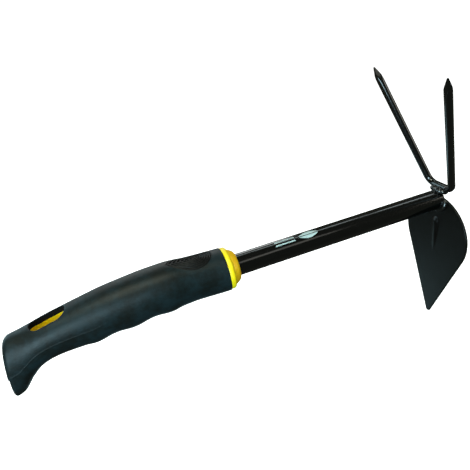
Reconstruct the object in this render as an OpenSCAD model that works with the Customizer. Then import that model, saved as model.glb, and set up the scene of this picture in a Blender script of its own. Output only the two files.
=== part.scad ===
// One-hand combination hoe: a heart-shaped blade and a two-tine fork welded to
// a steel tube, with a soft-touch grip that ends in a hook and a hanging slot.
// Millimetres. The origin is the centre of the hanging slot at the height of the
// tube axis. +X runs along the tube to the head, +Z to the tines, -Z to the blade.

/* [Tube] */
// outside diameter of the steel tube
tube_od = 16; // [14:0.5:20]
// wall thickness of the tube
tube_wall = 1.2; // [0.8:0.1:2]
// bare tube between the collar's nose and the blade
neck_len = 173; // [120:0.5:260]
// solid grip left between the hanging slot and the tube's inner end
tube_end_gap = 10; // [4:0.5:30]
// play between the tube and the grip's bore, across the diameter
tube_fit = 0.1; // [0:0.05:0.4]

/* [Blade] */
// radius of the blade's round shoulders
blade_r = 33.9; // [28:0.1:45]
// centre of the shoulder circle below the tube axis
blade_centre = 31; // [24:0.5:40]
// distance from that centre to the sharp corner the two cutting edges aim at
blade_point = 86.5; // [65:0.5:110]
// rounding of the blade's tip
blade_tip_r = 2.3; // [1:0.1:5]
// sheet thickness of the blade
blade_t = 1.8; // [1.4:0.1:3]
// how far the blade leans in under the tube
blade_lean = 1.5; // [0:0.1:10]
// how far the stiffening rib stands out of the blade
rib_h = 1.8; // [1:0.1:2.5]
// radius the rib is pressed to at its wide end
rib_r = 5; // [4:0.1:7]
// top of the rib below the tube axis
rib_top = 15; // [13:0.5:24]
// length of the rib
rib_len = 41; // [25:0.5:60]

/* [Fork] */
// diameter of the fork's rod
rod_d = 5.5; // [5:0.1:8]
// width of the fork's base between the two bend corners
fork_base_w = 23.4; // [20:0.1:32]
// length of each tine from its bend corner to its point
tine_len = 103; // [70:1:130]
// angle each tine splays outward
tine_splay = 14.4; // [5:0.1:25]
// angle the fork leans back over the tube
fork_lean = 20.3; // [0:0.1:35]
// centre of the rod from the blade's inner face
fork_set = 2; // [0.5:0.1:4]
// radius of the rod's bends at its centre line
bend_r = 8; // [6:0.5:12]
// length of the four-sided point on each tine
point_len = 11; // [6:0.5:18]
// width left flat at the very tip of each point
point_flat = 0.8; // [0.4:0.1:1.5]

/* [Welds] */
// leg of the bead round the end of the tube
bead_leg = 2.8; // [1.5:0.1:4]
// radius of the two beads that hold the fork
fork_bead_r = 2.8; // [2:0.1:3.5]
// length of those beads
fork_bead_len = 11; // [6:0.5:16]

/* [Grip] */
// length of the rubber grip from its front face to the butt
grip_len = 155.5; // [130:0.5:190]
// radius of the grip at its front face
grip_front_r = 15.3; // [13.5:0.1:18]
// centre of the hanging slot from the butt
slot_from_butt = 33; // [28:0.5:42]
// highest point of the palm swell above the tube axis
palm_top = 18.4; // [16:0.1:23]
// top of the palm swell from the grip's front face
palm_from_front = 44; // [36:1:54]
// top of the grip above the tube axis at the slot
slot_top = 8.3; // [6:0.1:12]
// top of the grip above the tube axis at the butt
butt_top = 2.2; // [-2:0.1:6]
// underside of the grip below the tube axis at the slot
slot_under = 20.9; // [18:0.1:25]
// underside of the grip below the tube axis behind the front face
waist_under = 14.8; // [13:0.1:18]
// depth of the hook below the tube axis
hook_depth = 44; // [34:0.5:50]
// half-width of the grip at the palm swell
palm_half_w = 15.4; // [13.5:0.1:18]
// half-width of the grip at the slot
slot_half_w = 13.4; // [11:0.1:16]
// half-width of the grip at the butt
butt_half_w = 12.6; // [10:0.1:15]
// rounding of the butt's edge
butt_round = 4; // [2:0.1:6]
// rounding under the hook's heel
heel_round = 2.5; // [1:0.1:4]
// angle the butt's face leans back over the hook
butt_rake = 11; // [0:0.5:14]
// height of the finger ridges
finger_h = 0.9; // [0:0.05:2]
// spacing of the finger ridges
finger_pitch = 27; // [22:0.5:32]
// first finger ridge from the slot's centre
finger_start = 25; // [20:0.5:32]
// thickness of the rubber over the core
rubber_t = 4; // [2:0.1:5]
// least wall of the core over the tube
core_wall = 0.6; // [0.4:0.1:2]

/* [Collar] */
// width of the core's flange in front of the rubber
flange_w = 3.8; // [2:0.1:6]
// radius of the nose where it leaves the flange
nose_r = 13.2; // [11:0.1:15]
// length of the nose
nose_len = 5.2; // [4:0.1:12]
// radius of the nose's small end
nose_tip_r = 10.4; // [9.5:0.1:13]
// rounding of the flange and of the nose's small end
collar_round = 1.2; // [0.4:0.1:1.5]

/* [Slot and thumb pad] */
// length of the hanging slot
slot_len = 25; // [18:0.5:32]
// width of the hanging slot
slot_w = 13; // [9:0.1:15]
// how far the core's lining stands into the slot on each side
lining_step = 0.5; // [0.2:0.1:1]
// centre of the thumb pad from the grip's front face
pad_from_front = 23.5; // [18:0.5:34]
// length of the thumb pad
pad_len = 32; // [22:0.5:36]
// width of the thumb pad
pad_w = 20; // [14:0.5:24]
// depth the thumb pad is set into the rubber
pad_t = 1.6; // [1:0.1:2.5]
// rise of each step of the thumb pad's ridges
ridge_h = 0.4; // [0.2:0.05:0.8]
// spacing of the thumb pad's ridges
ridge_pitch = 2; // [1.5:0.1:3]

/* [Hidden fastenings] */
// diameter of the cross pin through core and tube
pin_d = 4; // [3:0.5:5]
// the cross pin from the grip's front face
pin_from_front = 62; // [50:1:72]
// cover left over each end of the pin inside the core
pin_cover = 1.5; // [1:0.1:3]
// length of the plug in the tube's inner end
plug_len = 9; // [5:0.5:14]

/* [Hidden] */
$fn = 64;
tube_r = tube_od / 2;
rod_r = rod_d / 2;
x_butt = -slot_from_butt;
x_front = x_butt + grip_len;
x_nose = x_front + flange_w + nose_len;
x_blade = x_nose + neck_len;
x_tube_end = slot_len / 2 + tube_end_gap;
x_pin = x_front - pin_from_front;
x_pad = x_front - pad_from_front;
x_fork = x_blade + fork_set;
z_fork = tube_r + rod_r;
eps = 0.01;

// ---- grip outline: a smooth curve through a few named heights ----
under_mid = (slot_under + waist_under) / 2;
x_palm = x_front - palm_from_front;
top_knots = [
  [x_butt, butt_top], [x_butt + 14, (butt_top + slot_top) / 2 - 0.6], [0, slot_top],
  [x_palm / 2 - 2, (slot_top + palm_top) / 2 + 1.8], [x_palm, palm_top],
  [x_pad, (palm_top + grip_front_r) / 2], [x_front, grip_front_r]
];
under_knots = [
  [x_butt, -hook_depth], [x_butt + 4, -hook_depth + 0.5], [x_butt + 9, -0.85 * hook_depth - 0.15 * slot_under],
  [x_butt + 15, -0.48 * hook_depth - 0.52 * slot_under], [x_butt + 22, -slot_under - 3.6],
  [0, -slot_under], [finger_start, 0.6 - slot_under],
  [x_palm - 20, -under_mid + 0.4], [x_palm + 14, -waist_under - 0.2],
  [x_front - 26, -waist_under], [x_front - 8, -grip_front_r], [x_front, -grip_front_r]
];
width_knots = [
  [x_butt, butt_half_w], [0, slot_half_w], [x_palm / 2, (slot_half_w + palm_half_w) / 2 + 0.5],
  [x_palm, palm_half_w], [x_pad, (palm_half_w + grip_front_r) / 2 - 0.9], [x_front, grip_front_r]
];

// slope of the curve at knot i, and its height at x
function slope(k, i) =
  let (a = max(i - 1, 0), b = min(i + 1, len(k) - 1))
  (k[b][1] - k[a][1]) / (k[b][0] - k[a][0]);
function span(k, x, i = 0) = (i >= len(k) - 2 || x <= k[i + 1][0]) ? i : span(k, x, i + 1);
function curve(k, x) =
  let (i = span(k, x), w = k[i + 1][0] - k[i][0], t = min(max((x - k[i][0]) / w, 0), 1))
  (2 * pow(t, 3) - 3 * t * t + 1) * k[i][1] + (pow(t, 3) - 2 * t * t + t) * w * slope(k, i)
  + (3 * t * t - 2 * pow(t, 3)) * k[i + 1][1] + (pow(t, 3) - t * t) * w * slope(k, i + 1);

// finger ridges fade in and out over one half pitch
x_fingers_end = finger_start + 2.5 * finger_pitch;
function ramp(t) = let (u = min(max(t, 0), 1)) u * u * (3 - 2 * u);
function fingers(x) =
  finger_h * cos(360 * (x - finger_start) / finger_pitch)
  * ramp((x - finger_start + finger_pitch / 2) / (finger_pitch / 2))
  * ramp((x_fingers_end - x) / (finger_pitch / 2));

// the butt's rounded edge pulls every side in near the end
function butt_inset(x, r) = let (d = min(max(x - x_butt, 0), r)) r - sqrt(r * r - pow(r - d, 2));
function top_z(x) = curve(top_knots, x);
function under_z(x) = curve(under_knots, x) - fingers(x);
function half_w(x) = curve(width_knots, x);

// near the butt the sections lean with its face
function lean(x) = tan(butt_rake) * (1 - ramp((x - x_butt - 14) / 22));

// one cross-section, drawn inset by the given depth, as an oval with fuller sides
oval = 2.25;
sides = 32;
function power(v) = sign(v) * pow(abs(v), 2 / oval);
function section(x, inset) =
  let (b = inset + butt_inset(x - inset, butt_round), hi = top_z(x) - b, w = half_w(x) - b,
    lo = under_z(x) + inset + butt_inset(x - inset, heel_round))
  [for (j = [0 : sides - 1])
    let (z = (hi + lo) / 2 + (hi - lo) / 2 * power(sin(360 * j / sides)))
    [x + lean(x) * (z + slot_under / 2), w * power(cos(360 * j / sides)), z]];

// stations crowd together round the butt's edge
butt_steps = 4;
body_steps = 34;
function stations(x0, x1) = concat(
  [for (i = [0 : butt_steps - 1]) x0 + butt_round * (1 - cos(90 * i / butt_steps))],
  [for (i = [0 : body_steps]) x0 + butt_round + (x1 - x0 - butt_round) * i / body_steps]);

// a closed solid over a row of rings that all have the same number of points
module skin(rings) {
  n = len(rings);
  m = len(rings[0]);
  walls = [for (i = [0 : n - 2], j = [0 : m - 1])
    let (a = i * m + j, b = i * m + (j + 1) % m) each [[a, b + m, b], [a, a + m, b + m]]];
  first = [for (j = [0 : m - 1]) j];
  last = [for (j = [0 : m - 1]) n * m - 1 - j];
  polyhedron(points = [for (ring = rings) each ring], faces = concat(walls, [first, last]), convexity = 6);
}

module loft(xs, inset) {
  skin([for (x = xs) section(x, inset)]);
}

// ---- shared cuts ----
outer_stations = stations(x_butt, x_front);
core_stations = stations(x_butt + rubber_t, x_front);
cavity_stations = concat(core_stations, [x_front + 1]);

module slot_cut(step) {
  r = slot_w / 2 - step;
  half = (slot_len - slot_w) / 2;
  translate([0, 0, -hook_depth]) linear_extrude(2 * hook_depth) {
    translate([-half, 0]) circle(r);
    translate([half, 0]) circle(r);
    translate([-half, -r]) square([2 * half, 2 * r]);
  }
}

module along_x(x0, x1, r) {
  translate([x0, 0, 0]) rotate([0, 90, 0]) cylinder(h = x1 - x0, r = r);
}

module pin_shape() {
  pin_len = 2 * (half_w(x_pin) - rubber_t - pin_cover);
  translate([x_pin, 0, 0]) rotate([90, 0, 0]) cylinder(h = pin_len, r = pin_d / 2, center = true, $fn = 32);
}

ridge_count = floor((pad_w - 2) / ridge_pitch) - 1;

// an ellipse of the given half-length and half-width, standing over the thumb pad
module pad_prism(grow) {
  a = pad_len / 2 + grow;
  b = pad_w / 2 + grow;
  translate([x_pad, 0, 0]) linear_extrude(2 * palm_top)
    polygon([for (i = [0 : 47]) [a * cos(7.5 * i), b * sin(7.5 * i)]]);
}

// ---- tube and what is inside it ----
module tube() {
  color("dimgray") difference() {
    along_x(x_tube_end, x_blade + tube_r, tube_r);
    along_x(x_tube_end - 1, x_blade + tube_r + 1, tube_r - tube_wall);
    pin_shape();
    past_blade();
  }
}

module tube_plug() {
  color("tan") along_x(x_tube_end, x_tube_end + plug_len, tube_r - tube_wall);
}

module lock_pin() {
  color("silver") pin_shape();
}

// ---- blade ----
edge_angle = asin(blade_r / blade_point);
tip_drop = blade_point - blade_tip_r / sin(edge_angle);

// a wide arc over the shoulders and a small one round the tip, joined by the two straight edges
function arc(y, r, from, to, steps) =
  [for (i = [0 : steps]) let (a = from + (to - from) * i / steps) [r * cos(a), y + r * sin(a)]];

module blade_outline() {
  polygon(concat(
    arc(0, blade_r, -edge_angle, 180 + edge_angle, 64),
    arc(-tip_drop, blade_tip_r, 180 + edge_angle, 360 - edge_angle, 10)));
}

// a cone with a ball end, lying behind the blade's front face
module rib_shape(r) {
  small = r - rib_r + 2.6;
  translate([rib_r - rib_h, 0, -rib_top - rib_r]) {
    sphere(r);
    rotate([180, 0, 0]) cylinder(h = rib_len - rib_r, r1 = r, r2 = small);
  }
}

// places what follows on the blade's inner face, which leans with the blade
module on_blade() {
  translate([x_blade, 0, 0]) rotate([0, blade_lean, 0]) children();
}

module plate() {
  on_blade() translate([0, 0, -blade_centre]) rotate([90, 0, 90]) linear_extrude(blade_t) blade_outline();
}

// everything past the blade's inner face
module past_blade() {
  on_blade() translate([0, -2 * blade_r, -2 * blade_r]) cube([blade_r, 4 * blade_r, 4 * blade_r]);
}

module blade() {
  color("darkslategray") difference() {
    union() {
      plate();
      intersection() {
        on_blade() rib_shape(rib_r);
        on_blade() translate([-rib_h - 1, -blade_r, -blade_centre - blade_point])
          cube([rib_h + 1 + blade_t / 2, 2 * blade_r, blade_point + blade_centre]);
      }
    }
    on_blade() rib_shape(rib_r - blade_t);
  }
}

// ---- fork: one bent rod with a four-sided point at each end ----
bend_turn = 90 - tine_splay;
bend_reach = bend_r * tan(bend_turn / 2);
base_half = fork_base_w / 2 - bend_reach;
tine_straight = tine_len - bend_reach;
rod_sides = 32;
bend_steps = 14;
point_steps = 6;

// half of the centre line, from the base outward: across, up, heading, half-width across the flats, radius
bend_path = [for (i = [0 : bend_steps]) let (a = bend_turn * i / bend_steps)
  [base_half + bend_r * sin(a), bend_r * (1 - cos(a)), a, rod_r, rod_r]];
point_path = [for (i = [0 : point_steps])
  let (t = i / point_steps, s = tine_straight - point_len * (1 - t), start = bend_path[bend_steps],
    flat = rod_r - t * (rod_r - point_flat / 2))
  [start[0] + s * cos(bend_turn), start[1] + s * sin(bend_turn), bend_turn, flat, t < 1 ? rod_r : flat]];
half_path = concat(bend_path, point_path);
fork_path = concat(
  [for (i = [len(half_path) - 1 : -1 : 0]) let (p = half_path[i]) [-p[0], p[1], -p[2], p[3], p[4]]],
  half_path);

// the rod's round section, trimmed to a square where the flats cut it
function rod_ring(p) =
  [for (j = [0 : rod_sides - 1])
    let (a = 360 * j / rod_sides, r = min(p[4], p[3] / max(abs(cos(a)), abs(sin(a)))))
    [p[0] - r * cos(a) * sin(p[2]), p[1] + r * cos(a) * cos(p[2]), r * sin(a)]];

module fork() {
  color("black") translate([x_fork, 0, z_fork]) rotate([0, -fork_lean, 0]) rotate([90, 0, 90])
    skin([for (p = fork_path) rod_ring(p)]);
}

// ---- welds ----
// the bead stops short of the top of the blade on both sides
bead_stop = 18;

module blade_weld() {
  color("gray") difference() {
    translate([x_blade, 0, 0]) rotate([0, -90, 0]) rotate([0, 0, 90 - bead_stop])
      rotate_extrude(angle = 180 + 2 * bead_stop) {
        intersection() {
          translate([tube_r, 0]) circle(bead_leg, $fn = 32);
          translate([tube_r, 0]) square(bead_leg + 1);
        }
        translate([tube_r, -bead_leg]) square([bead_leg, bead_leg]);
      }
    past_blade();
  }
}

// a bead with round ends, lying across the tool
module cross_bead(x, z) {
  half = fork_bead_len / 2 - fork_bead_r;
  translate([x, 0, z]) {
    rotate([90, 0, 0]) cylinder(h = 2 * half, r = fork_bead_r, center = true, $fn = 48);
    translate([0, -half, 0]) sphere(fork_bead_r, $fn = 48);
    translate([0, half, 0]) sphere(fork_bead_r, $fn = 48);
  }
}

// one bead lies in the corner between rod and tube, the other under the rod on the blade's top edge
module fork_weld() {
  color("gray") difference() {
    union() {
      cross_bead(x_blade - 1.4, z_fork - 1.4);
      cross_bead(x_fork, z_fork - rod_r - 0.8);
    }
    translate([x_fork, -fork_base_w, z_fork]) rotate([-90, 0, 0]) cylinder(h = 2 * fork_base_w, r = rod_r, $fn = 48);
    along_x(x_tube_end, x_blade + tube_r, tube_r);
    plate();
  }
}

// ---- grip ----
module collar_shape() {
  c = collar_round;
  a = x_front;
  rotate([0, 90, 0]) rotate_extrude() {
    translate([0, a]) square([grip_front_r, flange_w - c]);
    translate([0, a]) square([grip_front_r - c, flange_w]);
    translate([grip_front_r - c, a + flange_w - c]) circle(c, $fn = 32);
    polygon([
      [0, a + flange_w - eps], [nose_r, a + flange_w - eps],
      [nose_tip_r, a + flange_w + nose_len - c], [nose_tip_r - c, a + flange_w + nose_len],
      [0, a + flange_w + nose_len]
    ]);
  }
}

// the core under the rubber, which keeps its least wall where a wide tube comes near the surface
module core_body(xs) {
  loft(xs, rubber_t);
  along_x(x_tube_end - core_wall, xs[len(xs) - 1], tube_r + tube_fit / 2 + core_wall);
}

module grip_core() {
  color("gold") difference() {
    union() {
      core_body(core_stations);
      collar_shape();
    }
    along_x(x_tube_end, x_nose + 1, tube_r + tube_fit / 2);
    slot_cut(lining_step);
    pin_shape();
  }
}

// the stretch of the grip under the thumb pad
pad_steps = 14;
pad_stations = [for (i = [0 : pad_steps]) x_pad + (pad_len / 2 + 2) * (2 * i / pad_steps - 1)];

module grip_sleeve() {
  color("darkslategray") difference() {
    loft(outer_stations, 0);
    core_body(cavity_stations);
    slot_cut(0);
    difference() {
      pad_prism(0);
      loft(pad_stations, pad_t);
    }
  }
}

// a flush pad whose top steps down between raised elliptical ridges
module thumb_pad() {
  color("black") difference() {
    intersection() {
      pad_prism(0);
      loft(pad_stations, 0);
    }
    loft(pad_stations, pad_t);
    difference() {
      for (g = [1 : 2 : ridge_count]) difference() {
        pad_prism(-g * ridge_pitch / 2);
        pad_prism(-(g + 1) * ridge_pitch / 2);
      }
      loft(pad_stations, ridge_h);
    }
  }
}

tube();
tube_plug();
lock_pin();
blade();
fork();
blade_weld();
fork_weld();
grip_core();
grip_sleeve();
thumb_pad();
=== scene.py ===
import math
import random
import bmesh
import bpy
from mathutils import Matrix, Vector, noise


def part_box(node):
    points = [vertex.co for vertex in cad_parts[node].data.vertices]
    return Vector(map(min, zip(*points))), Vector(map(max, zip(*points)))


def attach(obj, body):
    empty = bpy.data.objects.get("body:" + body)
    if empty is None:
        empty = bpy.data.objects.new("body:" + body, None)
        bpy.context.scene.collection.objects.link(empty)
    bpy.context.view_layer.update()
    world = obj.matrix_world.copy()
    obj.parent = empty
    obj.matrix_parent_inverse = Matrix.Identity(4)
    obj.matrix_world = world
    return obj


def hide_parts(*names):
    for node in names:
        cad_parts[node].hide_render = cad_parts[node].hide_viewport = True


# One-hand combination hoe. Sizes in the dictionaries are millimetres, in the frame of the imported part:
# +X runs along the tube to the head, +Z to the tines, and the origin is the centre of the hanging slot.
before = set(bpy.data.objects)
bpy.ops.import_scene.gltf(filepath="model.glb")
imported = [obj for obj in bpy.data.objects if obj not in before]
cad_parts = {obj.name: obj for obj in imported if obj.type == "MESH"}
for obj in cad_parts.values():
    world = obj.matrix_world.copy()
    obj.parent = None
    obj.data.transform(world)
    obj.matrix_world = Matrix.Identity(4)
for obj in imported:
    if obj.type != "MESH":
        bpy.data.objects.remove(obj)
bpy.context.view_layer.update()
mm = 0.001
print("frame loaded:", sorted(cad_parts))

# the collar (a flange, then a nose round the tube) and the hanging slot: the finishes use their sizes too
collar = dict(flange=3.8, noseRadius=13.2, noseLong=5.2, noseTip=10.4, round=1.2, root=0.45, tipRound=0.9,
              bore=8.05, steps=6)
slot = dict(long=25.0, wide=13.0, liningStep=0.5, liningSpan=(-40, 30), rim=0.9, rimTurn=72, rimSteps=5,
            clear=0.35, above=0.6, top=16.0, bottom=-36.0, sides=96)
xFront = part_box("grip_sleeve")[1].x / mm
xFlange = xFront + collar["flange"]
xNose = xFlange + collar["noseLong"]


class Wire:
    # an output socket; an expression on wires adds Math nodes to their finish
    def __init__(self, finish, out):
        self.finish = finish
        self.out = out

    def math(self, operation, *values):
        return self.finish.node("ShaderNodeMath", {"operation": operation}, dict(enumerate(values)))

    def __add__(self, other):
        return self.math("ADD", self, other)

    def __sub__(self, other):
        return self.math("SUBTRACT", self, other)

    def __rsub__(self, other):
        return self.math("SUBTRACT", other, self)

    def __mul__(self, other):
        return self.math("MULTIPLY", self, other)

    def __truediv__(self, other):
        return self.math("DIVIDE", self, other)

    def __rtruediv__(self, other):
        return self.math("DIVIDE", other, self)

    def __abs__(self):
        return self.math("ABSOLUTE", self)

    def __lt__(self, other):
        return self.math("LESS_THAN", self, other)

    def __gt__(self, other):
        return self.math("GREATER_THAN", self, other)

    __radd__ = __add__
    __rmul__ = __mul__


class Finish:
    # a material with one Principled shader; constants are set straight on its sockets
    def __init__(self, name, **constants):
        self.material = bpy.data.materials.new(name)
        self.material.use_nodes = True
        self.tree = self.material.node_tree
        self.shader = self.tree.nodes["Principled BSDF"]
        for socket, value in constants.items():
            self.shader.inputs[socket.replace("_", " ")].default_value = value

    def node(self, kind, settings=None, inputs=None, out=0):
        made = self.tree.nodes.new(kind)
        for key, value in (settings or {}).items():
            setattr(made, key, value)
        for key, value in (inputs or {}).items():
            self.plug(made.inputs[key], value)
        return Wire(self, made.outputs[out])

    def plug(self, socket, value):
        if isinstance(value, Wire):
            self.tree.links.new(value.out, socket)
        else:
            socket.default_value = value

    def feed(self, socket, value):
        self.plug(self.shader.inputs[socket], value)

    def place(self):
        return self.node("ShaderNodeTexCoord", out="Object")

    def axes(self):
        split = self.node("ShaderNodeSeparateXYZ", inputs={0: self.place()})
        return [Wire(self, out) for out in split.out.node.outputs]

    def stretched(self, scale):
        # object place scaled differently along each axis, for streaks
        return self.node("ShaderNodeVectorMath", {"operation": "MULTIPLY"}, {0: self.place(), 1: scale})

    def noise(self, scale, detail=3.0, rough=0.5, vector=None):
        inputs = {"Vector": vector or self.place(), "Scale": scale, "Detail": detail, "Roughness": rough}
        return self.node("ShaderNodeTexNoise", None, inputs)

    def cells(self, scale):
        return self.node("ShaderNodeTexVoronoi", None, {"Vector": self.place(), "Scale": scale})

    def band(self, value, low, high):
        # 0 below low, 1 above high, smooth between
        return self.node("ShaderNodeMapRange", {"interpolation_type": "SMOOTHSTEP"},
                         {"Value": value, "From Min": low, "From Max": high})

    def blend(self, amount, first, second):
        return self.node("ShaderNodeMix", {"data_type": "RGBA"}, {0: amount, 6: first, 7: second}, out=2)

    def bump(self, height, strength, distance, under=None):
        inputs = {"Height": height, "Strength": strength, "Distance": distance}
        if under is not None:
            inputs["Normal"] = under
        return self.node("ShaderNodeBump", None, inputs)


def colour(red, green, blue):
    return (red, green, blue, 1.0)


def makeGripRubber():
    # wall is a painted shade colour for the slot's walls; wallDeep is how far past the slot it reaches
    look = dict(dark=colour(0.0038, 0.0062, 0.0056), pale=colour(0.0074, 0.0165, 0.0195),
                dust=colour(0.016, 0.022, 0.021), wall=colour(0.0015, 0.0018, 0.0018), wallDeep=0.12)
    f = Finish("gripRubber", Specular_IOR_Level=0.21)
    x, y = f.axes()[:2]
    clouds = f.noise(70, 6, 0.7)
    handled = f.band(f.noise(16, 3, 0.55), 0.42, 0.66)
    specks = f.band(f.noise(900, 2, 0.5), 0.66, 0.78)
    scuffs = f.band(f.noise(1, 5, 0.7, f.stretched((60, 420, 420))), 0.60, 0.74)
    straight = (slot["long"] - slot["wide"]) / 2 * mm
    reach = (slot["wide"] / 2 + look["wallDeep"]) * mm
    past = x.math("MAXIMUM", abs(x) - straight, 0.0)
    slotShade = past * past + y * y < reach * reach  # painted shade: the slot's walls are coloured near black, as if unlit, and made rougher
    base = f.blend(f.band(clouds, 0.36, 0.64), look["dark"], look["pale"])
    worn = f.blend(specks * 0.35 + scuffs * 0.30, base, look["dust"])
    # painted shade: inside the slot the rubber takes the near-black wall colour
    f.feed("Base Color", f.blend(slotShade, worn, look["wall"]))
    f.feed("Roughness", 0.44 - handled * 0.07 + f.noise(220, 3) * 0.10 + scuffs * 0.07 + slotShade * 0.5)
    grain = f.bump(f.cells(2300), 0.30, 0.00012)
    f.feed("Normal", f.bump(f.noise(420, 4, 0.6), 0.22, 0.00040, grain))
    return f.material


def makePadRubber():
    look = dict(dark=colour(0.0010, 0.0014, 0.0013), pale=colour(0.0028, 0.0038, 0.0036))
    f = Finish("padRubber", Specular_IOR_Level=0.22)
    f.feed("Base Color", f.blend(f.noise(300, 4), look["dark"], look["pale"]))
    f.feed("Roughness", 0.40 + f.noise(260, 2) * 0.15)
    f.feed("Normal", f.bump(f.noise(2600, 3), 0.20, 0.00010))
    return f.material


def makeYellowPlastic():
    # deep is the orange for the random flow marks and for the painted shade on the nose and inside the slot
    look = dict(fresh=colour(1.0, 0.80, 0.004), deep=colour(1.0, 0.52, 0.003), grime=colour(0.30, 0.20, 0.02),
                noseFrom=xFlange * mm + 0.0001, noseFull=xFlange * mm + 0.0012, liningTo=0.05)
    f = Finish("yellowPlastic", Specular_IOR_Level=0.5, Coat_Roughness=0.2,
               Subsurface_Weight=0.12, Subsurface_Scale=0.002)
    x = f.axes()[0]
    flow = f.noise(1, 4, 0.6, f.stretched((90, 240, 240)))
    grime = f.band(f.noise(260, 5, 0.65), 0.60, 0.80)
    # painted shade: past the flange the nose is coloured a deeper orange, as if turned from the light
    noseShade = f.band(x, look["noseFrom"], look["noseFull"])
    # painted shade: the core seen inside the slot is coloured deeper too
    liningShade = x < look["liningTo"]
    tone = f.blend(flow * 0.30 + noseShade * 0.60 + liningShade * 0.2, look["fresh"], look["deep"])
    f.feed("Base Color", f.blend(grime * 0.12, tone, look["grime"]))
    f.feed("Roughness", 0.34 + f.noise(500, 3) * 0.14 + grime * 0.15)
    fine = f.bump(f.noise(1500, 3), 0.12, 0.00012)
    f.feed("Normal", f.bump(f.noise(160, 3), 0.10, 0.0004, fine))
    return f.material


def glossPaint(name, base, rough):
    # black powder coat: orange peel, faint rubs that dull it, and dust specks
    f = Finish(name, Specular_IOR_Level=0.5, Coat_Roughness=0.05, Coat_IOR=1.5)
    rubs = f.band(f.noise(1, 5, 0.7, f.stretched((45, 700, 700))), 0.56, 0.75)
    specks = f.band(f.noise(1300, 2), 0.72, 0.82)
    f.feed("Roughness", rough + rubs * 0.14 + f.noise(90, 3) * 0.05)
    f.feed("Coat Weight", 0.55 - rubs * 0.35)
    peel = f.bump(f.noise(420, 2, 0.5), 0.10, 0.00045)
    f.feed("Normal", f.bump(f.noise(2400, 2), 0.06, 0.00010, peel))
    dark = colour(base * 0.7, base * 0.8, base * 0.75)
    pale = colour(base * 1.3, base * 1.5, base * 1.45)
    dust = colour(0.020, 0.022, 0.022)
    return f, f.blend(specks * 0.3 + rubs * 0.10, f.blend(f.noise(55, 4), dark, pale), dust)


def makeForkPaint():
    f, base = glossPaint("forkPaint", 0.0012, 0.14)
    f.feed("Base Color", base)
    return f.material


def makeTubePaint():
    # a plain printed leaf and two bars stand on the tube where a maker's print would be
    emblem = dict(leafX=0.1885, leafLong=0.0084, leafWide=0.0031, vein=0.0004, barX=0.1695, barLong=0.0078,
                  barOff=0.0016, barHigh=0.0005, tubeRadius=0.008, turn=math.radians(73),
                  ink=colour(0.50, 0.66, 0.68))
    f, base = glossPaint("tubePaint", 0.0012, 0.13)
    x, y, z = f.axes()
    angle = z.math("ARCTAN2", z, y * -1.0)
    across = abs((angle - emblem["turn"]) * emblem["tubeRadius"])
    along = (x - emblem["leafX"]) / emblem["leafLong"]
    leaf = (across < (1 - along * along) * emblem["leafWide"]) * (abs(along) < 1.0)
    leaf = leaf * (across > emblem["vein"])
    bars = abs(across - emblem["barOff"]) < emblem["barHigh"]
    bars = bars * (abs(x - emblem["barX"]) < emblem["barLong"])
    worn = 1 - f.band(f.noise(700, 4, 0.7), 0.60, 0.72) * 0.8
    f.feed("Base Color", f.blend((leaf + bars) * worn, base, emblem["ink"]))
    return f.material


def makeBladePaint():
    look = dict(dark=colour(0.0008, 0.0005, 0.0003), pale=colour(0.0014, 0.0012, 0.0009),
                dust=colour(0.020, 0.022, 0.021))
    f = Finish("bladePaint", Specular_IOR_Level=0.22, Coat_Roughness=0.25)
    streaks = f.noise(1, 5, 0.65, f.stretched((300, 240, 34)))
    scratches = f.band(f.noise(1, 3, 0.8, f.stretched((900, 1500, 60))), 0.68, 0.76)
    base = f.blend(streaks, look["dark"], look["pale"])
    f.feed("Base Color", f.blend(scratches * 0.25, base, look["dust"]))
    f.feed("Roughness", 0.30 + f.noise(130, 3) * 0.10 + scratches * 0.10)
    f.feed("Coat Weight", 0.10 + f.noise(60, 2) * 0.08)
    peel = f.bump(f.noise(900, 3), 0.14, 0.00020)
    f.feed("Normal", f.bump(f.noise(60, 2), 0.10, 0.0012, peel))
    return f.material


def makeWeldPaint():
    f = Finish("weldPaint", Specular_IOR_Level=0.5, Coat_Roughness=0.05)
    soot = f.noise(500, 4, 0.7)
    f.feed("Base Color", f.blend(soot, colour(0.0015, 0.0018, 0.0018), colour(0.006, 0.0065, 0.0062)))
    f.feed("Roughness", 0.14 + soot * 0.12)
    f.feed("Coat Weight", 0.8 - soot * 0.3)
    spatter = f.bump(f.cells(900), 0.15, 0.00030)
    f.feed("Normal", f.bump(f.noise(350, 3), 0.22, 0.0006, spatter))
    return f.material


def makePinSteel():
    f = Finish("pinSteel", Metallic=1.0)
    lines = f.noise(1, 4, 0.6, f.stretched((4000, 200, 4000)))
    f.feed("Base Color", f.blend(lines, colour(0.42, 0.42, 0.41), colour(0.62, 0.61, 0.60)))
    f.feed("Roughness", 0.28 + lines * 0.2)
    f.feed("Normal", f.bump(lines, 0.1, 0.0001))
    return f.material


def makePlugPlastic():
    f = Finish("plugPlastic", Specular_IOR_Level=0.4)
    cloud = f.noise(260, 4)
    f.feed("Base Color", f.blend(cloud, colour(0.17, 0.16, 0.14), colour(0.24, 0.23, 0.20)))
    f.feed("Roughness", 0.5 + cloud * 0.15)
    f.feed("Normal", f.bump(f.noise(1400, 3), 0.2, 0.0001))
    return f.material


gripRubber = makeGripRubber()
padRubber = makePadRubber()
yellowPlastic = makeYellowPlastic()
forkPaint = makeForkPaint()
tubePaint = makeTubePaint()
bladePaint = makeBladePaint()
weldPaint = makeWeldPaint()
pinSteel = makePinSteel()
plugPlastic = makePlugPlastic()
print("finishes made")


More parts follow.
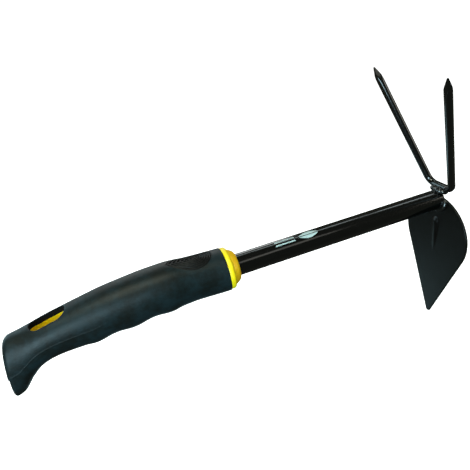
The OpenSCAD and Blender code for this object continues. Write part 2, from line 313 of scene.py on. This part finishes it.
def makePiece(name, points, faces, material, smoothAngle=35):
    # points come in millimetres
    mesh = bpy.data.meshes.new(name)
    mesh.from_pydata([Vector(p) * mm for p in points], [], faces)
    mesh.validate()
    piece = bpy.data.objects.new(name, mesh)
    bpy.context.scene.collection.objects.link(piece)
    mesh.materials.append(material)
    tidyMesh(piece, smoothAngle)
    return piece


def tidyMesh(piece, smoothAngle):
    # merges corners that lie on each other, and shades edges flatter than the angle as smooth
    together = 2e-7
    work = bmesh.new()
    work.from_mesh(piece.data)
    bmesh.ops.remove_doubles(work, verts=work.verts, dist=together)
    bmesh.ops.recalc_face_normals(work, faces=work.faces)
    for face in work.faces:
        face.smooth = True
    for edge in work.edges:
        edge.smooth = edge.calc_face_angle(0.0) < math.radians(smoothAngle)
    work.to_mesh(piece.data)
    work.free()


def skin(rings, closed=False):
    # quads between rings that all have the same number of points; closed joins the last ring to the first,
    # otherwise both ends get a cap
    count, size = len(rings), len(rings[0])
    faces = []
    for i in range(count if closed else count - 1):
        a, b = i * size, (i + 1) % count * size
        faces += [(a + j, a + (j + 1) % size, b + (j + 1) % size, b + j) for j in range(size)]
    if not closed:
        faces += [tuple(range(size))[::-1], tuple(range((count - 1) * size, count * size))]
    return [p for ring in rings for p in ring], faces


def cut(piece, cutter, smoothAngle=35):
    # takes the cutter out of the piece, then throws the cutter away
    change = piece.modifiers.new("cut", "BOOLEAN")
    change.operation = "DIFFERENCE"
    change.solver = "EXACT"
    change.object = cutter
    depsgraph = bpy.context.evaluated_depsgraph_get()
    result = bpy.data.meshes.new_from_object(piece.evaluated_get(depsgraph))
    piece.modifiers.clear()
    old = piece.data
    piece.data = result
    result.name = old.name
    bpy.data.meshes.remove(old)
    bpy.data.objects.remove(cutter)
    while len(result.materials) > 1:
        result.materials.pop()
    for face in result.polygons:
        face.material_index = 0
    tidyMesh(piece, smoothAngle)


def standsFor(piece, node):
    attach(piece, "root")
    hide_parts(node)
    print("piece", piece.name, len(piece.data.polygons), "faces")


def smooth(t):
    u = min(max(t, 0.0), 1.0)
    return u * u * (3 - 2 * u)


def spread(low, high, count):
    return [low + (high - low) * i / (count - 1) for i in range(count)]


def turned(points, axis, degrees, shift):
    matrix = Matrix.Translation(Vector(shift)) @ Matrix.Rotation(math.radians(degrees), 4, axis)
    return [matrix @ Vector(p) for p in points]


grip = dict(
    frontRadius=15.3, slotFromButt=33.0, palmTop=18.4, palmFromFront=44.0, slotTop=8.3, buttTop=2.2,
    slotUnder=20.9, waistUnder=14.8, hookDepth=44.0, palmHalfWidth=15.4, slotHalfWidth=13.4,
    buttHalfWidth=12.6, buttRound=4.0, heelRound=2.5, buttRake=11.0, rakeFrom=14.0, rakeFade=22.0,
    padFromFront=23.5, fingers=3, fingerHeight=0.9, fingerPitch=27.0, fingerStart=25.0, rubber=4.0,
    oval=2.25, sides=144, seamHeight=0.12, seamWidth=0.45, kinkHeight=-23.0, kinkStep=0.7, kinkSoft=1.1,
    kinkFade=5.0, buttBulge=0.9, lip=0.5, lipSteps=4, roundSteps=9, capRings=9, stations=170,
    innerStations=60)
xButt = -grip["slotFromButt"]
xPalm = xFront - grip["palmFromFront"]
xPad = xFront - grip["padFromFront"]
fingersEnd = grip["fingerStart"] + (grip["fingers"] - 0.5) * grip["fingerPitch"]
underMid = (grip["slotUnder"] + grip["waistUnder"]) / 2
hook = grip["hookDepth"]
under = grip["slotUnder"]

topKnots = [
    (xButt, grip["buttTop"]), (xButt + 14, (grip["buttTop"] + grip["slotTop"]) / 2 - 0.6),
    (0, grip["slotTop"]),
    (xPalm / 2 - 2, (grip["slotTop"] + grip["palmTop"]) / 2 + 1.8), (xPalm, grip["palmTop"]),
    (xPad, (grip["palmTop"] + grip["frontRadius"]) / 2), (xFront, grip["frontRadius"])]
underKnots = [
    (xButt, -hook), (xButt + 4, 0.5 - hook), (xButt + 9, -0.85 * hook - 0.15 * under),
    (xButt + 15, -0.48 * hook - 0.52 * under), (xButt + 22, -under - 3.6), (0, -under),
    (grip["fingerStart"], 0.6 - under), (xPalm - 20, 0.4 - underMid), (xPalm + 14, -grip["waistUnder"] - 0.2),
    (xFront - 26, -grip["waistUnder"]), (xFront - 8, -grip["frontRadius"]), (xFront, -grip["frontRadius"])]
widthKnots = [
    (xButt, grip["buttHalfWidth"]), (0, grip["slotHalfWidth"]),
    (xPalm / 2, (grip["slotHalfWidth"] + grip["palmHalfWidth"]) / 2 + 0.5), (xPalm, grip["palmHalfWidth"]),
    (xPad, (grip["palmHalfWidth"] + grip["frontRadius"]) / 2 - 0.9), (xFront, grip["frontRadius"])]


def curve(knots, x):
    # smooth curve through the knots
    def slope(i):
        a, b = max(i - 1, 0), min(i + 1, len(knots) - 1)
        return (knots[b][1] - knots[a][1]) / (knots[b][0] - knots[a][0])
    i = 0
    while i < len(knots) - 2 and x > knots[i + 1][0]:
        i += 1
    width = knots[i + 1][0] - knots[i][0]
    t = min(max((x - knots[i][0]) / width, 0), 1)
    rise = (2 * t**3 - 3 * t * t + 1) * knots[i][1] + (t**3 - 2 * t * t + t) * width * slope(i)
    return rise + (3 * t * t - 2 * t**3) * knots[i + 1][1] + (t**3 - t * t) * width * slope(i + 1)


def fingers(x):
    # the ridges between the fingers, faded out at both ends
    pitch, half = grip["fingerPitch"], grip["fingerPitch"] / 2
    wave = math.cos(2 * math.pi * (x - grip["fingerStart"]) / pitch)
    fade = smooth((x - grip["fingerStart"] + half) / half) * smooth((fingersEnd - x) / half)
    return grip["fingerHeight"] * wave * fade


def buttInset(x, radius):
    # how far the butt's rounding draws the surface in at x
    depth = min(max(x - xButt, 0), radius)
    return radius - math.sqrt(radius * radius - (radius - depth) ** 2)


def lean(x):
    # how far a station leans back per millimetre of height
    fade = 1 - smooth((x - xButt - grip["rakeFrom"]) / grip["rakeFade"])
    return math.tan(math.radians(grip["buttRake"])) * fade


def power(value):
    return math.copysign(abs(value) ** (2 / grip["oval"]), value)


def outline(x, inset):
    # middle height, half height and half width of the grip at x
    side = inset + buttInset(x - inset, grip["buttRound"])
    high = curve(topKnots, x) - side
    low = curve(underKnots, x) - fingers(x) + inset + buttInset(x - inset, grip["heelRound"])
    return (high + low) / 2, (high - low) / 2, curve(widthKnots, x) - side


# extra points crowd round the two mould lines at mid height
seamTurns = [0.3, 0.6, 1.0, 1.6]
turns = sorted(set([360 * j / grip["sides"] for j in range(grip["sides"])]
                   + [(base + sign * t) % 360 for base in (0, 180) for t in seamTurns for sign in (1, -1)]))


def section(x, inset, seam=0.0):
    middle, half, width = outline(x, inset)
    ring = []
    for turn in turns:
        a = math.radians(turn)
        y, z = width * power(math.cos(a)), middle + half * power(math.sin(a))
        if seam:
            y += math.copysign(seam * math.exp(-((z - middle) / grip["seamWidth"]) ** 2), y)
        ring.append(Vector((x + lean(x) * (z + under / 2), y, z)))
    return ring


def sideZ(x, y, up=True, inset=0.0):
    # height of the grip's upper or lower side; near the butt the stations lean, so the right one is
    # searched for
    station = x
    for _ in range(6):
        middle, half, width = outline(station, inset)
        t = min(abs(y) / width, 1.0)
        z = middle + (1 if up else -1) * half * (1 - t ** grip["oval"]) ** (1 / grip["oval"])
        station = max(x - lean(station) * (z + under / 2), xButt + inset)
    return z


def buttCap(ring, steps, bulge):
    # rings that close the butt with a slightly domed face
    centre = sum(ring, Vector()) / len(ring)
    caps = []
    for k in range(1, steps + 1):
        share = 1 - k / (steps + 0.3)
        push = Vector((-bulge * (1 - share * share), 0, 0))
        caps.append([centre + (p - centre) * share + push for p in ring])
    return caps[::-1]


def kink(p):
    # below the mould line the butt's face steps in
    below = smooth((grip["kinkHeight"] - p.z) / grip["kinkSoft"])
    near = 1 - smooth((p.x - lean(p.x) * (p.z + under / 2) - xButt) / grip["kinkFade"])
    return Vector((p.x + grip["kinkStep"] * below * near, p.y, p.z))


def bodyStations(start, count):
    # close together where the butt is rounded, then even
    steps = grip["roundSteps"]
    rounding = [start + grip["buttRound"] * (1 - math.cos(math.pi / 2 * i / steps)) for i in range(steps)]
    return rounding + spread(start + grip["buttRound"], xFront, count)


def lipRing(ring, turn):
    # the front edge is rounded into the face: a ring is eased back and drawn in towards the axis
    back, inward = grip["lip"] * (1 - math.sin(turn)), grip["lip"] * (1 - math.cos(turn))
    eased = []
    for p in ring:
        across = Vector((0, p.y, p.z))
        across *= 1 - inward / across.length
        eased.append(Vector((p.x - back, across.y, across.z)))
    return eased


def makeGripSleeve():
    outer = []
    for x in bodyStations(xButt, grip["stations"]):
        # the mould line is fainter ahead of the slot and starts a little in from the butt
        seam = grip["seamHeight"] * (1 - 0.75 * smooth((x - 26) / 14)) * smooth((x - xButt) / 2)
        outer.append([kink(p) for p in section(x, 0, seam)])
    caps = [[kink(p) for p in ring] for ring in buttCap(outer[0], grip["capRings"], grip["buttBulge"])]
    front, steps = outer.pop(), grip["lipSteps"]
    lip = [lipRing(front, math.pi / 2 * k / steps) for k in range(steps + 1)]
    innerX = bodyStations(xButt + grip["rubber"], grip["innerStations"])
    inner = [section(x, grip["rubber"]) for x in reversed(innerX)]
    points, faces = skin(caps + outer + lip + inner)
    return makePiece("gripSleeve", points, faces, gripRubber, 40)


def slotOutline(grow):
    # an oblong with round ends, grown outward
    radius = slot["wide"] / 2 + grow
    half = (slot["long"] - slot["wide"]) / 2
    ring = []
    for j in range(slot["sides"]):
        a = 2 * math.pi * (j + 0.5) / slot["sides"]
        ring.append((math.copysign(half, math.cos(a)) + radius * math.cos(a), radius * math.sin(a)))
    return ring


def makeSlotCutter():
    # the slot flares at both mouths, so that its rims come out rounded; flat caps close the cutter outside
    rings = []
    for up in (False, True):
        sign = 1 if up else -1
        flare = []
        for k in range(slot["rimSteps"] + 1):
            a = math.radians(slot["rimTurn"]) * k / slot["rimSteps"]
            grow, sink = slot["rim"] * (1 - math.cos(a)), slot["rim"] * (1 - math.sin(a))
            flare.append([Vector((x, y, sideZ(x, y, up) - sign * sink)) for x, y in slotOutline(grow)])
        outside = slotOutline(grow + slot["clear"])
        flare.append([Vector((x, y, sideZ(x, y, up) + sign * slot["above"])) for x, y in outside])
        flare.append([Vector((x, y, slot["top"] if up else slot["bottom"])) for x, y in outside])
        rings += flare if up else flare[::-1]
    points, faces = skin(rings)
    return makePiece("slotCutter", points, faces, gripRubber)


pad = dict(long=32.0, wide=20.0, deep=1.6, focus=4.0, swell=1.13, taper=0.45, ridges=7, ridgeHeight=0.75,
           flush=0.02, rimDrop=0.25, gap=0.18, above=0.25, closing=(0.8, 0.55, 0.3, 0.1), steps=9, sides=150)


def padOutline(share, grow=0.0):
    # an egg shape, round to the front and pointed to the back; rings close in on a focus near the front
    ring = []
    for j in range(pad["sides"]):
        a = 2 * math.pi * (j + 0.5) / pad["sides"]
        x = (pad["long"] / 2 + grow) * math.cos(a)
        y = (pad["wide"] / 2 + grow) * pad["swell"] * math.sin(a) * abs(math.cos(a / 2)) ** pad["taper"]
        ring.append((xPad + pad["focus"] + (x - pad["focus"]) * share, y * share))
    return ring


def padRing(share, grow=0.0, lift=0.0, inset=0.0):
    return [Vector((x, y, sideZ(x, y, inset=inset) + lift)) for x, y in padOutline(share, grow)]


def makePadCutter():
    # the pad's bed, then a lid a little wider and above the rubber
    bed = [padRing(share, inset=pad["deep"]) for share in pad["closing"][::-1]]
    bed.append(padRing(1.0, pad["flush"], inset=pad["deep"]))
    lid = [padRing(1.0, pad["flush"] + pad["gap"], pad["above"])]
    lid += [padRing(share, lift=pad["above"]) for share in pad["closing"]]
    points, faces = skin(bed + lid)
    return makePiece("padCutter", points, faces, gripRubber)


def makeThumbPad():
    # raised ridges round a focus, on a pad that lies flush in the rubber
    rings = []
    count = pad["ridges"] * pad["steps"]
    for k in range(1, count + 1):
        share = k / count
        wave = 0.5 - 0.5 * math.cos(2 * math.pi * k / pad["steps"])
        drop = pad["ridgeHeight"] * (1 - smooth(wave * 1.4 - 0.2)) * (1 - smooth((share - 0.975) / 0.025))
        drop += pad["rimDrop"] * smooth((share - 0.985) / 0.015)
        rings.append(padRing(share, lift=-pad["flush"] - drop))
    bottom = [padRing(share, 0.0, pad["flush"], pad["deep"]) for share in (1.0,) + pad["closing"]]
    points, faces = skin(rings + bottom)
    return makePiece("thumbPad", points, faces, padRubber, 60)


gripSleeve = makeGripSleeve()
cut(gripSleeve, makeSlotCutter(), 38)
cut(gripSleeve, makePadCutter(), 38)
standsFor(gripSleeve, "grip_sleeve")
thumbPad = makeThumbPad()
standsFor(thumbPad, "thumb_pad")


tube = dict(radius=8.0, wall=1.2, chamfer=0.3, endGap=10.0, sides=160, pin=4.0, pinSides=48,
            pinFromFront=62.0)
xTubeEnd = slot["long"] / 2 + tube["endGap"]
xPin = xFront - tube["pinFromFront"]


def circleRing(x, radius):
    angles = [math.radians(turn) for turn in turns]
    return [Vector((x, radius * math.cos(a), radius * math.sin(a))) for a in angles]


def arc(centreX, centreR, radius, start, end, steps):
    # points (x, r) along an arc, angles from the +X direction
    return [(centreX + radius * math.cos(math.radians(a)), centreR + radius * math.sin(math.radians(a)))
            for a in spread(start, end, steps)]


def makeGripCore():
    gap = 0.03  # keeps the core's skin just inside the sleeve's
    start = grip["rubber"] + gap
    body = [section(x, start) for x in bodyStations(xButt + start, grip["innerStations"])]
    front, rounding, root = grip["frontRadius"], collar["round"], collar["root"]
    rim = [(xFront + 0.02, front - 0.5), (xFront + 0.1, front - 0.12), (xFront + 0.3, front)]
    profile = rim + arc(xFlange - rounding, front - rounding, rounding, 90, 0, collar["steps"])
    profile += arc(xFlange + root, collar["noseRadius"] + root, root, 180, 265, 4)
    for t in spread(0.06, 0.82, 9):  # the nose swells a little between flange and tip
        r = collar["noseRadius"] + (collar["noseTip"] - collar["noseRadius"]) * t ** 1.35
        profile.append((xFlange + root + (collar["noseLong"] - root) * t, r))
    profile += arc(xNose - collar["tipRound"], collar["noseTip"] - 0.85, collar["tipRound"], 62, 0, 5)
    bore = collar["bore"]
    profile += [(xNose, bore + 0.5), (xNose - 0.15, bore + 0.15), (xNose - 0.5, bore)]
    profile += [(x, bore) for x in spread(xNose - 3, xTubeEnd, 12)]
    rings = buttCap(body[0], 4, 0.0) + body + [circleRing(x, r) for x, r in profile]
    points, faces = skin(rings)
    return makePiece("gripCore", points, faces, yellowPlastic, 40)


def makeLiningCutter():
    ring = slotOutline(-slot["liningStep"])
    rings = [[Vector((x, y, z)) for x, y in ring] for z in slot["liningSpan"]]
    points, faces = skin(rings)
    return makePiece("liningCutter", points, faces, yellowPlastic)


def pinHole(piece, reach):
    # bores the cross pin's hole, as far as reach to each side
    rings = []
    for y in (-reach, reach):
        turnStep = 2 * math.pi / tube["pinSides"]
        rings.append([Vector((xPin + tube["pin"] / 2 * math.cos(turnStep * j), y,
                              tube["pin"] / 2 * math.sin(turnStep * j))) for j in range(tube["pinSides"])])
    points, faces = skin(rings)
    cut(piece, makePiece("pinCutter", points, faces, pinSteel))


gripCore = makeGripCore()
cut(gripCore, makeLiningCutter())
pinHole(gripCore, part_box("lock_pin")[1].y / mm + 0.02)
standsFor(gripCore, "grip_core")
print("grip made")


blade = dict(radius=33.9, centre=31.0, point=86.5, tipRadius=2.3, thick=1.8, lean=1.5, edgeRound=0.45,
             ribHeight=1.8, ribRadius=5.0, ribTop=15.0, ribLong=41.0, ribSmall=2.6, ribBlend=0.3,
             rows=150, edgeBand=4.4, columns=26, middleShare=0.62)
neckLong = 173.0
xBlade = xNose + neckLong
leanTan = math.tan(math.radians(blade["lean"]))
edgeAngle = math.asin(blade["radius"] / blade["point"])
bladeTipDrop = blade["point"] - blade["tipRadius"] / math.sin(edgeAngle)


def makeTube():
    # the end at the blade follows the blade's lean
    def ring(x, radius, atBlade=False):
        points = []
        for j in range(tube["sides"]):
            a = 2 * math.pi * j / tube["sides"]
            y, z = radius * math.cos(a), radius * math.sin(a)
            points.append(Vector((x + (z * leanTan if atBlade else 0), y, z)))
        return points
    r, bore, chamfer = tube["radius"], tube["radius"] - tube["wall"], tube["chamfer"]
    rings = [ring(xTubeEnd, r - chamfer), ring(xTubeEnd + chamfer, r)]
    rings += [ring(x, r) for x in spread(xTubeEnd + 8, xBlade - 6, 60)]
    rings += [ring(xBlade - 0.02, r, True), ring(xBlade - 0.02, bore, True)]
    rings += [ring(x, bore) for x in spread(xBlade - 6, xTubeEnd + chamfer, 20)]
    rings.append(ring(xTubeEnd, bore + chamfer))
    points, faces = skin(rings, closed=True)
    return makePiece("neckTube", points, faces, tubePaint, 50)


neckTube = makeTube()
pinHole(neckTube, tube["radius"] * 1.5)
standsFor(neckTube, "tube")


def bladeDistance(y, z):
    # depth inside the blade's outline: a large circle and a small one with their tangents
    big, small, gapLong = blade["radius"], blade["tipRadius"], bladeTipDrop
    py, pz = abs(y), -(z + blade["centre"])
    b = (big - small) / gapLong
    a = math.sqrt(1 - b * b)
    k = -b * py + a * pz
    if k < 0:
        return big - math.hypot(py, pz)
    if k > a * gapLong:
        return small - math.hypot(py, pz - gapLong)
    return big - (py * a + pz * b)


def bladeHalfWidth(z):
    # by bisection on the depth function
    low, high = 0.0, blade["radius"]
    for _ in range(40):
        middle = (low + high) / 2
        low, high = (middle, high) if bladeDistance(middle, z) > 0 else (low, middle)
    return low


def ribOut(y, z):
    # how far the pressed rib stands out of the sheet
    axis = blade["ribRadius"] - blade["ribHeight"]
    s = -z - blade["ribTop"] - blade["ribRadius"]
    if s < 0:
        radius = math.sqrt(max(blade["ribRadius"] ** 2 - s * s, 0))
    else:
        share = s / (blade["ribLong"] - blade["ribRadius"])
        radius = blade["ribRadius"] + (blade["ribSmall"] - blade["ribRadius"]) * share
    height = math.sqrt(max(radius * radius - y * y, 0)) - axis
    soft = blade["ribBlend"]
    return height if height > soft else (height + soft) ** 2 / (4 * soft) if height > -soft else 0.0


def makeBlade():
    # two sheets of rows and columns, close together near the rounded edge, joined round the border
    top, tip = blade["radius"] - blade["centre"], -blade["centre"] - bladeTipDrop - blade["tipRadius"]
    # distances of the first rows from top and tip, then shares of the half width in from the edge
    near = [0.0, 0.03, 0.1, 0.2, 0.32, 0.45, 0.7, 1.1, 1.7, 2.5, 3.4]
    band = blade["edgeBand"]
    rows = [top - d for d in near] + spread(top - band, tip + band, blade["rows"])
    rows += [tip + d for d in near[::-1]]
    edge = [0.0, 0.002, 0.006, 0.011, 0.018, 0.028, 0.045, 0.07, 0.105, 0.15, 0.2, 0.26, 0.33]
    middle = [i / blade["columns"] * blade["middleShare"] for i in range(blade["columns"] + 1)]
    half = sorted(set([1 - e for e in edge] + middle))
    columns = [-u for u in half[:0:-1]] + half
    thick, r = blade["thick"], blade["edgeRound"]
    points, faces = [], []
    place = Matrix.Translation((xBlade, 0, 0)) @ Matrix.Rotation(math.radians(blade["lean"]), 4, "Y")
    for back in (False, True):
        for z in rows:
            width = bladeHalfWidth(z)
            for u in columns:
                y = u * width
                inside = max(r - max(bladeDistance(y, z), 0.0), 0.0)
                sink = r - math.sqrt(max(r * r - inside * inside, 0.0))
                x = -ribOut(y, z) + (thick - sink if back else sink)
                points.append(place @ Vector((x, y, z)))
    span, sheet = len(columns), len(rows) * len(columns)
    for i in range(len(rows) - 1):
        for j in range(span - 1):
            a = i * span + j
            faces.append((a, a + 1, a + span + 1, a + span))
            faces.append((sheet + a, sheet + a + span, sheet + a + span + 1, sheet + a + 1))
    border = [(i, 0) for i in range(len(rows))] + [(len(rows) - 1, j) for j in range(1, span)]
    border += [(i, span - 1) for i in range(len(rows) - 2, -1, -1)] + [(0, j) for j in range(span - 2, 0, -1)]
    for (i, j), (m, n) in zip(border, border[1:] + border[:1]):
        a, b = i * span + j, m * span + n
        faces.append((a, b, sheet + b, sheet + a))
    return makePiece("hoeBlade", points, faces, bladePaint, 60)


hoeBlade = makeBlade()
standsFor(hoeBlade, "blade")
print("blade made")


fork = dict(rod=5.5, baseWide=23.4, tineLong=103.0, splay=14.4, lean=20.3, set=2.0, bend=8.0, pointLong=11.0,
            pointFlat=0.8, sides=64, bendSteps=28, soft=14)
rodRadius = fork["rod"] / 2
xFork = xBlade + fork["set"]
zFork = tube["radius"] + rodRadius


def forkPath():
    # the centre line: across, up, heading, half-width across the flats; it is made for one side and mirrored
    noFlats = 99.0
    turn = 90 - fork["splay"]
    reach = fork["bend"] * math.tan(math.radians(turn / 2))
    baseHalf = fork["baseWide"] / 2 - reach
    straight = fork["tineLong"] - reach
    half = [(baseHalf * t, 0.0, 0.0, noFlats) for t in (0.25, 0.6)]
    for i in range(fork["bendSteps"] + 1):
        a = math.radians(turn * i / fork["bendSteps"])
        half.append((baseHalf + fork["bend"] * math.sin(a), fork["bend"] * (1 - math.cos(a)), a, noFlats))
    x0, y0, heading, _ = half[-1]
    tine = [(s, noFlats) for s in spread(4, straight - fork["pointLong"] - 1, 14)]
    for t in spread(0, 1, 15):
        s = straight - fork["pointLong"] * (1 - t)
        tine.append((s, rodRadius - t * (rodRadius - fork["pointFlat"] / 2)))
    half += [(x0 + s * math.cos(heading), y0 + s * math.sin(heading), heading, flat) for s, flat in tine]
    return [(-x, y, -a, flat) for x, y, a, flat in half[::-1]] + half


def rodRing(x, y, heading, flat):
    # round, with four flats at the points whose corners are slightly eased
    ring = []
    for j in range(fork["sides"]):
        a = 2 * math.pi * j / fork["sides"]
        square = flat / max(abs(math.cos(a)), abs(math.sin(a)))
        r = (rodRadius ** -fork["soft"] + square ** -fork["soft"]) ** (-1 / fork["soft"])
        ring.append(Vector((x - r * math.cos(a) * math.sin(heading), y + r * math.cos(a) * math.cos(heading),
                            r * math.sin(a))))
    return ring


def makeFork():
    points, faces = skin([rodRing(*step) for step in forkPath()])
    stand = [Vector((p.z, p.x, p.y)) for p in points]  # across to Y, up to Z
    points = turned(stand, "Y", -fork["lean"], (xFork, 0, zFork))
    return makePiece("twoTineFork", points, faces, forkPaint, 22)


twoTineFork = makeFork()
standsFor(twoTineFork, "fork")
print("fork made")


weld = dict(leg=3.0, stop=18.0, ripple=0.16, ripplePitch=13.0, wander=0.10, swell=0.10, taperSteps=9, lap=0.5,
            steps=200, section=14, beadRadius=2.8, beadLong=13.0, voxel=0.22, seed=7)


def makeBladeWeld():
    # a rippled fillet round the lower part of the tube's end
    rings = []
    half = 90 + weld["stop"]
    for i in range(weld["steps"] + 1):
        turn = -90 - half + 2 * half * i / weld["steps"]
        a = math.radians(turn)
        along = (turn + 90) / weld["ripplePitch"]
        saw = (along - math.floor(along)) ** 1.6
        taper = smooth(min(i, weld["steps"] - i) / weld["taperSteps"])
        wander = noise.noise(Vector((math.cos(a) * 2.2, math.sin(a) * 2.2, 3.1)))
        leg = weld["leg"] * (0.80 + weld["ripple"] * saw + weld["wander"] * wander) * (0.35 + 0.65 * taper)
        ring = []
        for k in range(weld["section"] + 1):
            b = math.pi / 2 * k / weld["section"]
            swell = 1 + weld["swell"] * math.sin(2 * b)
            out, back = leg * math.sin(b) * swell, leg * math.cos(b) * swell
            radius = tube["radius"] + out
            z = radius * math.sin(a)
            ring.append(Vector((xBlade + z * leanTan - back, radius * math.cos(a), z)))
        inner = tube["radius"] - weld["lap"]
        z = inner * math.sin(a)
        ring.append(Vector((xBlade + z * leanTan - 0.05, inner * math.cos(a), z)))
        rings.append(ring)
    points, faces = skin(rings)
    return makePiece("bladeWeld", points, faces, weldPaint, 60)


def makeForkWeld():
    # drops of weld metal in front of the rod, under it and at both ends, run together; each drop is a
    # place with its least and greatest radius
    rng = random.Random(weld["seed"])
    work = bmesh.new()
    half = weld["beadLong"] / 2 - weld["beadRadius"]
    front = [(xBlade - 1.6, -half + 2 * half * i / 3, zFork - 1.5, 2.2, 3.2) for i in range(4)]
    low = zFork - rodRadius - 0.6
    under = [(xFork + 0.2, -half - 0.5 + 2 * half * i / 4, low, 2.0, 3.0) for i in range(5)]
    ends = [(xBlade - 0.4, side * (half + 2.2), zFork - 2.6, 1.7, 2.2) for side in (1, -1)]
    for x, y, z, small, large in front + under + ends:
        radius = rng.uniform(small, large)
        shift = Vector((rng.uniform(-0.5, 0.5), rng.uniform(-0.6, 0.6), rng.uniform(-0.5, 0.5)))
        spot = Matrix.Translation((Vector((x, y, z)) + shift) * mm)
        bmesh.ops.create_icosphere(work, subdivisions=4, radius=radius * mm, matrix=spot)
    mesh = bpy.data.meshes.new("forkWeld")
    work.to_mesh(mesh)
    work.free()
    piece = bpy.data.objects.new("forkWeld", mesh)
    bpy.context.scene.collection.objects.link(piece)
    fuse = piece.modifiers.new("fuse", "REMESH")
    fuse.mode = "VOXEL"
    fuse.voxel_size = weld["voxel"] * mm
    soften = piece.modifiers.new("soften", "SMOOTH")
    soften.factor = 0.5
    soften.iterations = 5
    depsgraph = bpy.context.evaluated_depsgraph_get()
    result = bpy.data.meshes.new_from_object(piece.evaluated_get(depsgraph))
    piece.modifiers.clear()
    piece.data = result
    result.materials.clear()
    result.materials.append(weldPaint)
    tidyMesh(piece, 80)
    return piece


bladeWeld = makeBladeWeld()
standsFor(bladeWeld, "blade_weld")
forkWeld = makeForkWeld()
standsFor(forkWeld, "fork_weld")

for node, material in (("lock_pin", pinSteel), ("tube_plug", plugPlastic)):
    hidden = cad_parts[node]
    hidden.data.materials.clear()
    hidden.data.materials.append(material)
print("welds and hidden pieces done")


stage = dict(floorZ=-160.0, radius=6000.0, flat=(0.001, 0.02, 0.1, 0.4, 0.8), sides=64, arcs=20, glow=1.0,
             air=colour(0.90, 0.94, 0.76), airStrength=0.07)


def makeFloor():
    # a flat floor that turns up into a plain dome; it only shows, and neither lights nor shades the tool
    f = Finish("floorWhite", Roughness=0.9, Specular_IOR_Level=0.1, Emission_Color=colour(1, 1, 1),
               Emission_Strength=stage["glow"])
    f.feed("Base Color", f.blend(f.noise(3, 2) * 0.3, colour(0.9, 0.9, 0.9), colour(0.86, 0.86, 0.86)))
    profile = [(stage["radius"] * share, stage["floorZ"]) for share in stage["flat"]]
    profile += [(r, stage["floorZ"] + h) for r, h in arc(0, 0, stage["radius"], 0, 89.9, stage["arcs"])]
    angles = [2 * math.pi / stage["sides"] * j for j in range(stage["sides"])]
    rings = [[Vector((r * math.cos(a), r * math.sin(a), z)) for a in angles] for r, z in profile]
    points, faces = skin(rings)
    floor = makePiece("floor", points, faces, f.material, 60)
    floor.visible_glossy = False
    floor.visible_diffuse = False
    floor.visible_shadow = False


def makeLight(name, place, target, size, radiance, tint):
    # place, target and size are in metres; radiance is what a mirror would show of the panel
    data = bpy.data.lights.new(name, "AREA")
    data.shape = "RECTANGLE"
    data.size, data.size_y = size
    data.energy = radiance * math.pi * size[0] * size[1]
    data.color = tint
    light = bpy.data.objects.new(name, data)
    light.location = place
    light.rotation_mode = "QUATERNION"
    light.rotation_quaternion = (Vector(target) - Vector(place)).to_track_quat("-Z", "Y")
    bpy.context.scene.collection.objects.link(light)


def makeWorld():
    world = bpy.data.worlds.new("room")
    bpy.context.scene.world = world
    world.use_nodes = True
    background = world.node_tree.nodes["Background"]
    background.inputs["Color"].default_value = stage["air"]
    background.inputs["Strength"].default_value = stage["airStrength"]


makeFloor()
makeWorld()
makeLight("sideBox", (-0.55, -0.85, 0.12), (0.04, 0, 0), (0.8, 0.5), 12.0, (0.62, 0.89, 1.0))
makeLight("topBox", (-0.14, -0.34, 0.86), (0.03, 0, 0), (0.45, 0.40), 10.5, (0.94, 1.0, 0.82))
makeLight("overStrip", (0.62, 0.46, 0.88), (0.30, 0, 0), (1.4, 0.11), 3.2, (0.86, 1.0, 1.0))
makeLight("frontStrip", (0.44, -0.66, 0.70), (0.18, 0, 0), (0.36, 0.26), 1.0, (1.0, 1.0, 0.90))
makeLight("rightBox", (0.98, -0.45, 0.25), (0.13, 0, 0), (0.4, 0.4), 2.6, (1.0, 0.95, 0.84))
makeLight("backBox", (-0.50, 0.62, 0.20), (0.25, 0, 0), (0.5, 0.7), 2.4, (0.62, 0.90, 1.0))
makeLight("lowBox", (0.085, 0.56, -0.72), (0.31, 0, -0.05), (0.42, 0.42), 1.3, (0.55, 0.90, 1.0))
makeLight("farFill", (0.10, 1.05, 0.40), (0.12, 0, 0), (0.9, 0.5), 2.2, (0.95, 1.0, 1.0))

# in metres, with the directions of the picture's right and up
camera = dict(place=(0.0739, -0.2548, 0.1694), right=(0.9344, -0.3159, -0.1645),
              up=(0.2932, 0.4199, 0.8589), lens=32.94)


def makeCamera():
    data = bpy.data.cameras.new("studioCamera")
    data.lens = camera["lens"]
    data.sensor_width = 36.0
    data.clip_start, data.clip_end = 0.01, 50.0
    shot = bpy.data.objects.new("studioCamera", data)
    right, up = Vector(camera["right"]).normalized(), Vector(camera["up"]).normalized()
    back = right.cross(up).normalized()
    up = back.cross(right)
    turn = Matrix((right, up, back)).transposed()
    shot.matrix_world = Matrix.Translation(camera["place"]) @ turn.to_4x4()
    bpy.context.scene.collection.objects.link(shot)
    bpy.context.scene.camera = shot


makeCamera()
bpy.context.scene.view_settings.view_transform = "Standard"
bpy.context.scene.view_settings.look = "None"
print("stage, lights and camera made")
